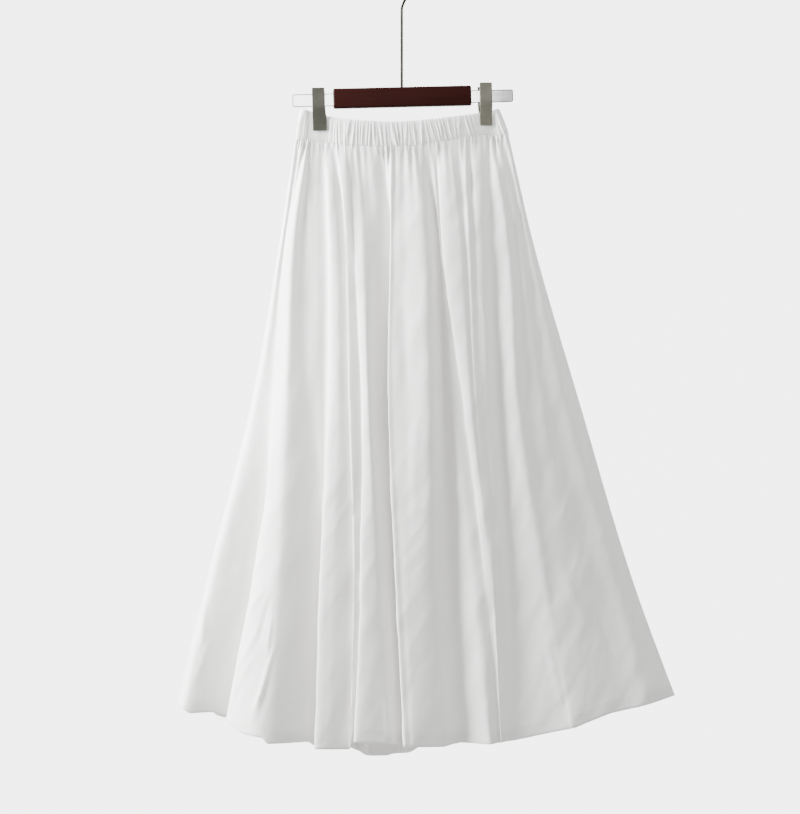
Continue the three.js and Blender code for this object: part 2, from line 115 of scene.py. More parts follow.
FRONT_FOLDS = [
    ("side_left", -150, -172, -209, -270, -326, 0, 0, 0),
    ("roll_left", -146, -168, -202, -261, -312, -1, -3, -24),
    ("gap_a", -141, -164, -181, -190, -230, 0, 3, 33),
    ("edge_a", -136, -161, -172, -205, -248, -1, -4, -14),
    ("crest_a", -131, -151, -158, -169, -185, -3, -13, -34),
    ("gap_b", -125, -137, -128, -105, -108, 1, 2, 20),
    ("slope_b", -117, -118, -114, -105, -110, 1, 4, 12),
    ("rise_b", -111, -104, -105, -108, -114, 2, 6, -2),
    ("edge_b", -105, -99, -100, -112, -118, -3, -6, -17),
    ("crest_b", -99, -90, -87, -95, -100, -2, -9, -16),
    ("gap_c", -93, -76, -69, -61, -66, 2, -4, -6),
    ("edge_c", -87, -77, -72, -65, -70, -4, -10, -14),
    ("gap_d", -80, -66, -53, -52, -65, -5, -5, -9),
    ("edge_d", -74, -65, -55, -56, -64, 0, -9, -17),
    ("crest_d", -66, -53, -45, -33, -21, 2, -14, -9),
    ("slope_d", -52, -40, -33, -21, -11, 2, -1, -2),
    ("slope_e", -41, -32, -24, -12, -1, 0, 9, 12),
    ("gap_e", -28, -10, -12, -2, 11, 5, 19, 22),
    ("edge_e", -15, -15, -18, -8, 4, -2, -7, -15),
    ("bend_e", -9, -10, -11, 0, 12, -1, -7, -14.5),
    ("flat_e", 3, 3, 6, 10, 20, -1, -8, -14),
    ("crest_e", 21, 35, 41, 43, 56, -3, -11, -2),
    ("gap_f", 36, 53, 60, 69, 84, 3, 12, 16),
    ("crest_f", 43, 56, 72, 100, 122, 0, 5, -3),
    ("gap_g", 49, 58, 85, 114, 128, 2, 3, 0),
    ("edge_g", 54, 58, 86, 117, 132, -2, -4, 5),
    ("crest_g", 67, 83, 95, 122, 136, -3, -8, 6),
    ("gap_h", 80, 90, 102, 126, 138, 1, -6, 3),
    ("edge_h", 88, 95, 104, 129, 140, -3, -6, 5),
    ("gap_i", 95, 103, 111, 132, 142, 1, -4, 6),
    ("edge_i", 101, 108, 115, 135, 144, -2, -3, 8),
    ("crest_i", 110, 114, 121, 140, 146, -2, -2, 10),
    ("gap_j", 122, 127, 135, 150, 166, 2, 8, 14),
    ("crest_j", 131, 150, 161, 196, 235, -3, -4, 5),
    ("gap_k", 137, 161, 176, 208, 240, 0, 1, 2),
    ("edge_k", 142, 167, 194, 237, 258, -1, 0, 2),
    ("gap_l", 146, 175, 205, 273, 322, 1, 2, 3),
    ("flat_l", 150, 182, 230, 302, 362, -1, -3, -5),
    ("side_right", 154, 188, 249, 322, 407, 0, 0, 0),
]

BACK_FOLDS = [
    ("side_right", 154, 188, 249, 322, 407, 0, 0, 0),
    ("roll_right", 149, 182, 239, 309, 388, -1, -6, -14),
    ("dip_1", 141, 168, 214, 272, 330, 0, 10, 30),
    ("crest_1", 128, 152, 192, 246, 300, -2, -13, -30),
    ("dip_2", 121, 141, 172, 214, 262, 2, 6, 8),
    ("crest_2", 110, 126, 156, 196, 244, -2, -7, -12),
    ("dip_3", 96, 108, 126, 148, 170, 3, 13, 28),
    ("crest_3", 88, 97, 112, 132, 148, -3, -11, -20),
    ("dip_4", 83, 90, 103, 121, 134, 2, -2, -6),
    ("crest_4", 72, 77, 88, 103, 112, -3, -9, -14),
    ("dip_5", 60, 62, 66, 70, 66, 3, 12, 26),
    ("crest_5", 50, 51, 52, 52, 44, -3, -12, -28),
    ("dip_6", 38, 36, 32, 26, 14, 2, 2, 4),
    ("crest_6", 29, 25, 18, 8, -8, -2, -6, -10),
    ("dip_7", 12, 6, -6, -22, -44, 3, 12, 24),
    ("crest_7", 3, -5, -19, -38, -62, -3, -12, -24),
    ("dip_8", -3, -13, -30, -53, -80, 1, 1, 0),
    ("crest_8", -14, -26, -46, -70, -96, -2, -8, -14),
    ("dip_9", -33, -45, -68, -98, -136, 3, 12, 30),
    ("crest_9", -42, -55, -79, -110, -148, -3, -10, -18),
    ("dip_10", -52, -67, -94, -128, -164, 2, 3, 4),
    ("crest_10", -69, -86, -116, -156, -200, -3, -13, -32),
    ("dip_11", -86, -104, -134, -176, -222, 2, 9, 20),
    ("crest_11", -94, -113, -145, -190, -236, -2, -7, -12),
    ("dip_12", -112, -132, -166, -214, -262, 2, 10, 24),
    ("crest_12", -122, -143, -180, -234, -284, -2, -9, -22),
    ("dip_13", -138, -159, -196, -252, -304, 0, 5, 12),
    ("side_left", -150, -172, -209, -270, -326, 0, 0, 0),
]

print("fold lines in front", len(FRONT_FOLDS), "and behind", len(BACK_FOLDS))

# %% [markdown]
# ## From fold lines to a smooth sheet
# Cloth bends in curves that never kink, so every fold line is a smooth line through its
# five heights, and every level section is a smooth curve through all the fold lines.

# %% Smooth lines through the tables
def edge_height(rows, x):
    places, heights = zip(*rows)
    return np.interp(x, places, heights)


def band_half(left, right):
    """Half the band's outline between its ends: x, half the depth, how far back the middle is."""
    return [
        (left, 0, 0), (left + BAND_END, BAND_END_DEPTH, 0), *BAND_LINE,
        (right - BAND_END, BAND_END_DEPTH, BAND_END_BACK), (right, 0, 0),
    ]


def at_level(values, z):
    """values at the five levels, carried smoothly to the heights z."""
    levels = np.array(LEVELS)
    values = np.asarray(values, float)
    i = np.clip(np.searchsorted(-levels, -z, side="right") - 1, 0, len(levels) - 2)
    span = levels[i] - levels[i + 1]
    t = (levels[i] - z) / span

    def slope(k):
        low, high = np.maximum(k - 1, 0), np.minimum(k + 1, len(levels) - 1)
        return (values[high] - values[low]) / (levels[low] - levels[high]) * span

    t2, t3 = t * t, t * t * t
    smooth = (2 * t3 - 3 * t2 + 1) * values[i] + (t3 - 2 * t2 + t) * slope(i)
    smooth += (3 * t2 - 2 * t3) * values[i + 1] + (t3 - t2) * slope(i + 1)
    straight = values[i] + (values[i + 1] - values[i]) * t
    return np.where((t < 0) | (t > 1), straight, smooth)


print("the seam's height in the middle, millimetres", round(float(edge_height(SEAM, 0)), 1))

# %% [markdown]
# A curve across the fold lines could be a spline with even steps, but fold lines stand
# close in one place and far apart in another, and an even spline overshoots there. A
# centripetal curve takes the distances into account and stays calm.

# %% Curves across the fold lines
def through_points(points, places):
    """A centripetal curve across the second axis of points, at places counted in spans."""
    first = 2 * points[:, :1] - points[:, 1:2]
    last = 2 * points[:, -1:] - points[:, -2:-1]
    p = np.concatenate([first, points, last], axis=1)
    gap = np.sqrt(np.linalg.norm(np.diff(p, axis=1), axis=2, keepdims=True)) + 1e-6
    p0, p1, p2, p3 = p[:, :-3], p[:, 1:-2], p[:, 2:-1], p[:, 3:]
    g0, g1, g2 = gap[:, :-2], gap[:, 1:-1], gap[:, 2:]
    m1 = ((p1 - p0) / g0 - (p2 - p0) / (g0 + g1) + (p2 - p1) / g1) * g1
    m2 = ((p2 - p1) / g1 - (p3 - p1) / (g1 + g2) + (p3 - p2) / g2) * g1
    k = np.clip(np.floor(places).astype(int), 0, points.shape[1] - 2)
    t = (places - k)[None, :, None]
    a, b = 2 * t ** 3 - 3 * t ** 2 + 1, t ** 3 - 2 * t ** 2 + t
    c, d = 3 * t ** 2 - 2 * t ** 3, t ** 3 - t ** 2
    return a * p1[:, k] + b * m1[:, k] + c * p2[:, k] + d * m2[:, k]


def even_places(points, pitch, least):
    """Places so that each span of the last row has a point every pitch, and at least some."""
    lengths = np.linalg.norm(np.diff(points[-1], axis=0), axis=1)
    counts = np.maximum(least, np.round(lengths / pitch).astype(int))
    spans = [k + np.arange(n) / n for k, n in enumerate(counts)]
    return np.append(np.concatenate(spans), len(lengths))


print("made the helpers through_points and even_places")

# %% [markdown]
# The plain form of a panel is a flattened arch from seam to seam. The folds are taken off
# it. Near the band the cloth follows the band's own line, and takes up its folds below.

# %% The panels' middle surfaces
GRID_PITCH = 3.1
LEAST_COLUMNS = 7
LEAST_DEPTH = 1.2
FOLDS_START = 52.0
NEAR_SEAM, NEAR_HEM = 0.1, 0.14


def plain_depth(x, left, right, depth):
    t = np.clip(np.abs(2 * (x - left) / (right - left) - 1), 0, 1)
    return depth * (1 - t ** 2.4) ** 0.6


def panel_points(folds, depths, hem, side, rows):
    """The panel's middle surface: rows from the seam to the hem, points across.

    It leaves the band along the band's own line and takes up its folds a little lower."""
    share = np.linspace(0, 1, rows)
    band_x, band_depth, band_middle = zip(*band_half(*BAND_FOOT_ENDS))
    ends = sorted([folds[0], folds[-1]], key=lambda fold: fold[1])
    lines = []
    for fold in folds:
        across, (upper, middle, lower) = fold[1:6], fold[6:9]
        top = edge_height(SEAM, across[0]) - SEAM_GAP
        foot = edge_height(hem, across[4])
        for _ in range(3):
            foot = edge_height(hem, at_level(across, np.array([foot]))[0])
        z = top + (foot - top) * share
        x = at_level(across, z)
        inside = at_level((upper, (upper + middle) / 2, middle, (middle + lower) / 2, lower), z)
        left, right = (at_level(end[1:6], z) for end in ends)
        folded = side * (plain_depth(x, left, right, at_level(depths, z)) - inside)
        gathered = np.interp(x, band_x, band_middle)
        gathered += side * np.maximum(np.interp(x, band_x, band_depth), LEAST_DEPTH)
        settled = np.clip((top - z) / FOLDS_START, 0, 1)
        settled = settled * settled * (3 - 2 * settled)
        lines.append(np.stack([x, gathered + (folded - gathered) * settled, z], axis=1))
    lines[0][:, 1] = lines[-1][:, 1] = side * SEAM_GAP / 2
    lines = np.stack(lines, axis=1)
    points = through_points(lines, even_places(lines, GRID_PITCH, LEAST_COLUMNS))
    seam_step = edge_height(SEAM, points[0, :, 0]) - SEAM_GAP - points[0, :, 2]
    hem_step = edge_height(hem, points[-1, :, 0]) - points[-1, :, 2]
    near_seam = np.clip(1 - share / NEAR_SEAM, 0, 1)[:, None] ** 2
    near_hem = np.clip((share - 0.86) / NEAR_HEM, 0, 1)[:, None] ** 2
    points[..., 2] += seam_step * near_seam + hem_step * near_hem
    return points


def length_across(row):
    return float(np.linalg.norm(np.diff(row, axis=0), axis=1).sum())


front = panel_points(FRONT_FOLDS, FRONT_DEPTH, FRONT_HEM, -1, rows=206)
back = panel_points(BACK_FOLDS, BACK_DEPTH, BACK_HEM, 1, rows=200)
for name, points in (("front", front), ("back", back)):
    sizes = [round(length_across(points[row])) for row in (0, len(points) // 2, -1)]
    print(name, "panel, millimetres across at seam, middle and hem:", sizes)

# %% [markdown]
# ## The tucks that elastic makes
# Elastic draws the casing up into narrow tucks, no two alike: some deep, some shallow, some
# leaning. A wave with uneven pitch and size round the band's outline gives them, and the
# clips press them flat. The same wave goes on into the panels, which are gathered with it.

# %% The band's line and its tucks
GATHERS_ROUND = 84
TUCK = 1.3
BAND_POINTS = 12
CLIP_PLACES = (-115.5, 117.6)
GATHER_PITCH = 9.2
GATHER_FADE = 32.0


def band_line(left, right):
    half = band_half(left, right)
    ring = [(x, middle - depth, 0) for x, depth, middle in half]
    ring += [(x, middle + depth, 0) for x, depth, middle in half[-2:0:-1]]
    count = len(ring)
    looped = np.array(ring * 3, float)[None]
    curve = through_points(looped, count + np.arange(count * 40 + 1) / 40)[0]
    run = np.concatenate([[0], np.cumsum(np.linalg.norm(np.diff(curve, axis=0), axis=1))])
    places = np.linspace(0, run[-1], GATHERS_ROUND * BAND_POINTS, endpoint=False)
    return np.stack([np.interp(places, run, curve[:, k]) for k in range(3)], axis=1)


def band_tucks(share):
    """The band's line at a share of its height, its outward side, and how far the tucks push it."""
    left = BAND_TOP_ENDS[0] + (BAND_FOOT_ENDS[0] - BAND_TOP_ENDS[0]) * share ** 0.7
    right = BAND_TOP_ENDS[1] + (BAND_FOOT_ENDS[1] - BAND_TOP_ENDS[1]) * share
    line = band_line(left, right)
    along = np.roll(line, -1, axis=0) - np.roll(line, 1, axis=0)
    outward = np.stack([along[:, 1], -along[:, 0], np.zeros(len(line))], axis=1)
    outward /= np.linalg.norm(outward, axis=1, keepdims=True)
    k = np.arange(len(line)) / BAND_POINTS
    uneven = 0.30 * np.sin(k * 0.83 + 1.1) + 0.20 * np.sin(k * 2.17) + 0.10 * np.sin(k * 5.3)
    lean = (share - 0.5) * (0.34 * np.sin(k * 0.61) + 0.36 * np.sin(k * 1.73 + 2))
    slant = 0.45 * share * np.exp(-((line[:, 0] - 78) / 30) ** 2)
    wave = np.cos(2 * np.pi * (k + uneven + lean + slant))
    sharp = np.exp(1.1 * (wave - 1)) * 1.8 - 0.8
    between = 0.45 * np.cos(2 * np.pi * (1.7 * k + 0.6 * np.sin(k * 0.9) + 2 * lean))
    size = 0.68 + 0.34 * np.sin(k * 1.31 + 0.6) + 0.26 * np.sin(k * 3.7 + 4 * share)
    wave = sharp * size + between * (1 - size)
    grip = np.min([np.abs(line[:, 0] - place) for place in CLIP_PLACES], axis=0)
    free = np.clip((grip - 10) / 12, 0, 1) ** 1.5
    edge = np.interp(share, (0, 0.1, 0.3, 0.5, 0.75, 1), (0.22, 0.27, 0.6, 0.92, 0.75, 0.62))
    return line, outward, TUCK * wave * (0.1 + 0.9 * free) * edge


print("tucks round the band", GATHERS_ROUND)

# %% [markdown]
# ## Creases and crinkles
# Washed cotton keeps soft creases that run askew over the folds, and tiny gathers fade out
# below the waist seam. Each crease is a line from one place to another in the front view,
# with its width and its height; troughs are negative. No two are alike.

# %% Creases placed one by one
FRONT_CREASES = [
    # x and z of the upper end, x and z of the lower end, width, height
    (-170, -940, -201, -1062, 2.6, 2.5),
    (-176, -905, -184, -968, 2.4, 1.7),
    (-178, -880, -196, -950, 2.8, -1.5),
    (-184, -868, -214, -912, 3.0, 1.5),
    (-192, -920, -222, -985, 3.2, 1.5),
    (-204, -965, -224, -1012, 2.6, 1.4),
    (-212, -985, -232, -1040, 3.0, -1.4),
    (-180, -985, -210, -1070, 2.6, 1.5),
    (-190, -1010, -206, -1048, 2.2, 1.4),
    (-186, -820, -206, -862, 3.4, 1.2),
    (-270, -880, -276, -960, 3.6, 1.4),
    (-262, -940, -286, -1010, 3.4, 1.4),
    (-21, -1012, -16, -1084, 3.2, 1.8),
    (54, -970, 64, -1090, 3.4, 2.0),
    (-118, -640, -104, -760, 6.0, -0.9),
    (-160, -560, -178, -690, 6.5, 0.9),
    (4, -430, 14, -640, 7.5, -1.0),
    (26, -600, 18, -800, 7.0, 0.9),
    (150, -600, 172, -740, 6.0, 0.9),
    (216, -830, 262, -930, 7.0, 0.9),
    (268, -880, 300, -990, 6.5, -0.9),
    (200, -930, 224, -1040, 5.0, 0.9),
    (-282, -900, -296, -1010, 6.0, 0.9),
    (-70, -840, -52, -930, 5.0, -0.8),
    (110, -460, 128, -540, 4.0, 0.7),
    (-128, -300, -122, -420, 3.5, 1.0),
]
BACK_CREASES = [
    (180, -560, 214, -700, 6.5, 0.9),
    (250, -850, 290, -960, 6.5, -1.0),
    (150, -900, 172, -1020, 5.0, 1.2),
    (60, -660, 52, -820, 6.0, 0.9),
    (10, -480, 2, -620, 6.0, -0.9),
    (-40, -900, -62, -1050, 5.5, 1.2),
    (-110, -640, -130, -780, 6.0, 0.9),
    (-160, -820, -204, -862, 5.0, 1.0),
    (-170, -900, -214, -950, 5.5, -1.1),
    (-240, -900, -262, -1010, 6.0, 0.9),
    (-90, -330, -96, -450, 4.0, 0.7),
    (84, -300, 90, -430, 4.0, 0.7),
]
print("creases in front", len(FRONT_CREASES), "and behind", len(BACK_CREASES))

# %% [markdown]
# The creases, the slow waves of worn cotton and the gathers are three reliefs. They could
# be bump in the material, but then the outline and the shadows would stay smooth, so they
# are added up and push the sheet along its own normals.

# %% Heights over the sheet
CRINKLE_START = 60


def normals_of(points):
    down = np.gradient(points, axis=0)
    across = np.gradient(points, axis=1)
    n = np.cross(down, across)
    return n / (np.linalg.norm(n, axis=2, keepdims=True) + 1e-9)


def crease_heights(points, creases):
    x, z = points[..., 0], points[..., 2]
    total = np.zeros_like(x)
    for x1, z1, x2, z2, width, height in creases:
        run = np.array([x2 - x1, z2 - z1], float)
        length = np.hypot(*run)
        along = ((x - x1) * run[0] + (z - z1) * run[1]) / length
        off = ((x - x1) * run[1] - (z - z1) * run[0]) / length
        bend = 0.02 * length * np.sin(np.pi * along / length)
        fade = np.clip(along / (0.3 * length), 0, 1) * np.clip((length - along) / (0.3 * length), 0, 1)
        total += height * fade * np.exp(-((off - bend) / width) ** 2)
    return total


def crinkle_heights(points, cut_x, seed):
    """Soft unevenness of worn cotton: long slow waves and fine slanted crinkles."""
    rows, columns = points.shape[:2]
    values = np.empty((rows, columns))
    for i in range(rows):
        for j in range(columns):
            u, z = cut_x[i, j], points[i, j, 2]
            slow = noise.noise(Vector((u / 34 + seed, z / 150, seed)))
            fine = noise.noise(Vector((u / 13 + z / 40, z / 34 - u / 60, seed + 7)))
            values[i, j] = 1.5 * slow + 0.6 * fine
    return values


def tuck_heights(points, side, seed):
    """The band's tucks run on through the seam, merge into wider gathers and fade away."""
    below = points[:1, :, 2] - points[..., 2]
    x = points[0, :, 0]
    line, _, push = band_tucks(1.0)
    turn = int(np.argmax(line[:, 0]))
    half = slice(0, turn) if side < 0 else slice(len(line) - 1, turn, -1)
    run_on = np.interp(x, line[half, 0], push[half]) * np.exp(-below / 8)
    wander = 2.6 * np.sin(x / 19 + seed) + 1.9 * np.sin(x / 7.9 + 2 * seed)
    reach = GATHER_FADE * (1 + 0.75 * np.sin(x / 11 + seed))
    size = 0.8 + 0.45 * np.sin(x / 6.1 + 3 * seed) + 0.3 * np.sin(x / 23 + seed)
    wide = size * np.cos(2 * np.pi * (x + wander) / GATHER_PITCH) * (1 - np.exp(-below / 6))
    short = np.cos(2 * np.pi * (x + 1.5 * wander + 0.08 * below) / (GATHER_PITCH * 0.42))
    pucker = 0.8 * size * short * np.exp(-((below - 5 - 4 * np.sin(x / 4.3 + seed)) / 5) ** 2)
    return run_on + 1.5 * wide * np.exp(-below / reach) + pucker


def dress(points, creases, side, seed):
    cut_x = np.cumsum(np.linalg.norm(np.diff(points, axis=1, prepend=points[:, :1]), axis=2), axis=1)
    height = crease_heights(points, creases) + tuck_heights(points, side, seed)
    below = points[:1, :, 2] - points[..., 2]
    height += crinkle_heights(points, cut_x, seed) * np.clip(below / CRINKLE_START, 0.1, 1)
    height[:, 0] = height[:, -1] = 0
    return points + normals_of(points) * height[..., None], cut_x


front, front_cut = dress(front, FRONT_CREASES, side=-1, seed=1.7)
back, back_cut = dress(back, BACK_CREASES, side=1, seed=5.2)
print("hems with their creases, millimetres", *(round(length_across(p[-1])) for p in (front, back)))

# %% [markdown]
# ## The two panels
# Each panel is one sheet. Its lower edge turns up inside in a narrow hem, as it is
# pressed and stitched, which gives the free edge its slight weight.

# %% Panel meshes
def join_the_part(obj, nodes=(), place=None):
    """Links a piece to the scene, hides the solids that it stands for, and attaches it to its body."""
    bpy.context.collection.objects.link(obj)
    if place is not None:
        obj.matrix_world = place
    if nodes:
        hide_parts(*nodes)
    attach(obj, "root")
    return obj


HEM_TURN = 16.0
HEM_PROFILE = [
    # up from the edge, in from the panel, down
    (0, 0.35, 0.4), (0, 0.9, 0.2), (0.6, 1.1, 0), (4, 1.0, 0), (HEM_TURN, 0.9, 0),
]


def sheet_mesh(name, points, cut_x, closed=False):
    """A grid of points as a smooth mesh with its cut sizes in metres as its UV map."""
    rows, columns = points.shape[:2]
    spans = columns if closed else columns - 1
    k = np.arange(rows * columns).reshape(rows, columns)
    left, right = k[:, :spans], np.roll(k, -1, axis=1)[:, :spans]
    faces = np.stack([left[:-1], left[1:], right[1:], right[:-1]], axis=-1).reshape(-1, 4)
    mesh = bpy.data.meshes.new(name)
    mesh.from_pydata((points.reshape(-1, 3) * MM).tolist(), [], faces.tolist())
    drop = np.cumsum(np.linalg.norm(np.diff(points, axis=0, prepend=points[:1]), axis=2), axis=0)
    cut = np.stack([cut_x.ravel(), drop.ravel()], axis=1) * MM
    layer = mesh.uv_layers.new(name="cut")
    layer.data.foreach_set("uv", cut[faces.ravel()].ravel())
    mesh.polygons.foreach_set("use_smooth", np.ones(len(faces), bool))
    return bpy.data.objects.new(name, mesh)


def with_hem(points, cut_x):
    """Adds the turned hem inside the panel: a small roll and a flat turn-up."""
    inward = -normals_of(points)
    pitch = (points[0, :, 2] - points[-1, :, 2]).mean() / (len(points) - 1)
    turn = []
    for up, off, drop in HEM_PROFILE:
        whole, part = divmod(up / pitch, 1)
        k = len(points) - 1 - int(whole)
        row = points[k] + (points[k - 1] - points[k]) * part + inward[k] * off
        row[:, 2] -= drop
        turn.append(row)
    turned = np.concatenate([points, np.stack(turn)])
    return turned, np.concatenate([cut_x, np.repeat(cut_x[-1:], len(turn), axis=0)])


skirt_front = sheet_mesh("skirt_front_panel", *with_hem(front, front_cut))
skirt_back = sheet_mesh("skirt_back_panel", *with_hem(back, back_cut))
for panel, node in ((skirt_front, "skirt_front"), (skirt_back, "skirt_back")):
    join_the_part(panel, [node])
    print(panel.name, "faces", len(panel.data.polygons))

# %% [markdown]
# ## The waistband
# The band is a strip folded over elastic. The strip, judged to be about 0.76 m long, is
# drawn down to 0.6 m in some eighty narrow tucks. The clips press it flat. One open
# sheet goes up the inside, over the top edge and down the outside to the seam.

# %% The band as a gathered ring
def band_row(share, offset):
    line, outward, push = band_tucks(share)
    row = line + outward * (push + offset)[:, None]
    top, foot = edge_height(BAND_TOP, line[:, 0]), edge_height(SEAM, line[:, 0])
    row[:, 2] = top + (foot - top) * share + 0.5 * push * (share < 0.1)
    return row


INNER = [(1.0, -0.7), (0.8, -1.0), (0.5, -1.05), (0.2, -1.0), (0.06, -0.8), (0.01, -0.4)]
OUTER = [(0.0, 0.0), (0.01, 0.4), (0.03, 0.65), (0.06, 0.85), (0.10, 0.95)]
OUTER += [(share, 1.05) for share in np.linspace(0.14, 0.8, 19)]
OUTER += [(0.85, 0.95), (0.9, 0.75), (0.95, 0.5), (1.0, 0.2)]
band_points = np.stack([band_row(share, offset) for share, offset in INNER + OUTER])
band_cut = np.cumsum(
    np.linalg.norm(np.diff(band_points, axis=1, prepend=band_points[:, :1]), axis=2), axis=1)
waistband = sheet_mesh("waistband_casing", band_points, band_cut, closed=True)
join_the_part(waistband, ["waistband"])
print("cloth round the band, millimetres", round(float(band_cut[:, -1].mean())))

# %% [markdown]
# ## Stitching
# Lockstitches show as short raised threads. One row holds the casing just above the waist
# seam, and one holds the turned hem of each panel.

# %% Rows of stitches
STITCH = 2.4
STITCH_GAP = 0.9
THREAD = 0.32


def stitches(name, line, outward, closed=False):
    if closed:
        line, outward = (np.concatenate([part, part[:1]]) for part in (line, outward))
    run = np.concatenate([[0], np.cumsum(np.linalg.norm(np.diff(line, axis=0), axis=1))])
    vertices, faces = [], []

    def at(place, source):
        return np.array([np.interp(place, run, source[:, k]) for k in range(3)])

    for start in np.arange(1.5, run[-1] - STITCH - 1, STITCH + STITCH_GAP):
        a, middle, b = at(start, line), at(start + STITCH / 2, line), at(start + STITCH, line)
        up = at(start + STITCH / 2, outward)
        up = up / np.linalg.norm(up)
        side = np.cross(b - a, up)
        side = side / (np.linalg.norm(side) + 1e-9)
        first = len(vertices)
        lift = up * THREAD * 0.8
        vertices += [a, b, middle + lift + up * THREAD * 0.6, middle + side * THREAD + lift * 0.4,
                     middle - side * THREAD + lift * 0.4, middle - up * THREAD * 0.3]
        for tip, turn in ((0, (2, 3, 5, 4)), (1, (2, 4, 5, 3))):
            for n in range(4):
                faces.append((first + tip, first + turn[n], first + turn[(n + 1) % 4]))
    mesh = bpy.data.meshes.new(name)
    mesh.from_pydata([tuple(v * MM) for v in vertices], [], faces)
    print(name, len(vertices) // 6, "stitches")
    return join_the_part(bpy.data.objects.new(name, mesh))


def hem_stitches(name, points):
    row = len(points) - 1 - round((HEM_TURN - 2) / (points[0, 0, 2] - points[-1, 0, 2]) * (len(points) - 1))
    return stitches(name, points[row, 2:-2], normals_of(points)[row, 2:-2])


band_normals = normals_of(band_points)
stitch_row = len(INNER + OUTER) - 3
threads = [
    hem_stitches("hem_stitching_front", front),
    hem_stitches("hem_stitching_back", back),
    stitches("casing_stitching", band_points[stitch_row], -band_normals[stitch_row], closed=True),
]

# %% [markdown]
# ## The cut of the cloth
# Each panel is judged to be a flared piece: half a metre at the waist edge, 1.2 m at the
# hem and 0.88 m long. The casing is one straight strip, judged to be 0.76 m long. The
# lengths that the modelled folds and tucks take up are printed above. Only the back's hem
# comes up to the one given here.

# %% [markdown]
# ## Materials from nodes
# A picture of cloth or wood could be wrapped round the pieces, but noise from nodes stays
# sharp at any distance. Every material uses the same few steps: noise, stretched along a
# direction, turned into colours by a ramp or into relief by a bump.

# %% Helpers for materials
def new_material(name):
    material = bpy.data.materials.new(name)
    material.use_nodes = True
    return material, material.node_tree.nodes, material.node_tree.links


def set_sockets(shader, values):
    for socket, value in values.items():
        shader.inputs[socket].default_value = value


def object_place(nodes):
    return nodes.new("ShaderNodeTexCoord").outputs["Object"]


def noise_node(nodes, links, vector, scale, detail=3.0):
    node = nodes.new("ShaderNodeTexNoise")
    node.inputs["Scale"].default_value = scale
    node.inputs["Detail"].default_value = detail
    links.new(vector, node.inputs["Vector"])
    return node.outputs["Fac"]


def streaks(nodes, links, vector, scale, detail=3.0):
    """Noise that is stretched along the directions where scale is small."""
    node = nodes.new("ShaderNodeMapping")
    node.inputs["Scale"].default_value = scale
    links.new(vector, node.inputs["Vector"])
    return noise_node(nodes, links, node.outputs["Vector"], 1.0, detail)


def arithmetic(nodes, links, operation, a, b):
    node = nodes.new("ShaderNodeMath")
    node.operation = operation
    for socket, value in zip(node.inputs, (a, b)):
        if isinstance(value, (int, float)):
            socket.default_value = value
        else:
            links.new(value, socket)
    return node.outputs["Value"]


def ramp(nodes, links, factor, low, high, start=0.3, stop=0.7):
    node = nodes.new("ShaderNodeValToRGB")
    node.color_ramp.elements[0].position = start
    node.color_ramp.elements[1].position = stop
    node.color_ramp.elements[0].color = (*low, 1)
    node.color_ramp.elements[1].color = (*high, 1)
    links.new(factor, node.inputs["Fac"])
    return node.outputs["Color"]


def bump(nodes, links, height, distance, strength, under=None):
    node = nodes.new("ShaderNodeBump")
    node.inputs["Distance"].default_value = distance
    node.inputs["Strength"].default_value = strength
    links.new(height, node.inputs["Height"])
    if under is not None:
        links.new(under, node.inputs["Normal"])
    return node.outputs["Normal"]


print("materials before these", len(bpy.data.materials))

# %% [markdown]
# ## The cotton
# Light plain-weave cotton is matt and a little see-through, so light that enters one side
# of a fold warms the other. The threads are drawn across and along the cut of the cloth,
# with the thicker slubs that hand-feel cotton has, under a soft halo of loose fibres.
# Crisp fine crinkles come in patches, as they do where cloth was folded after washing.

# %% Cotton and thread
WEAVE_PITCH = 0.00085


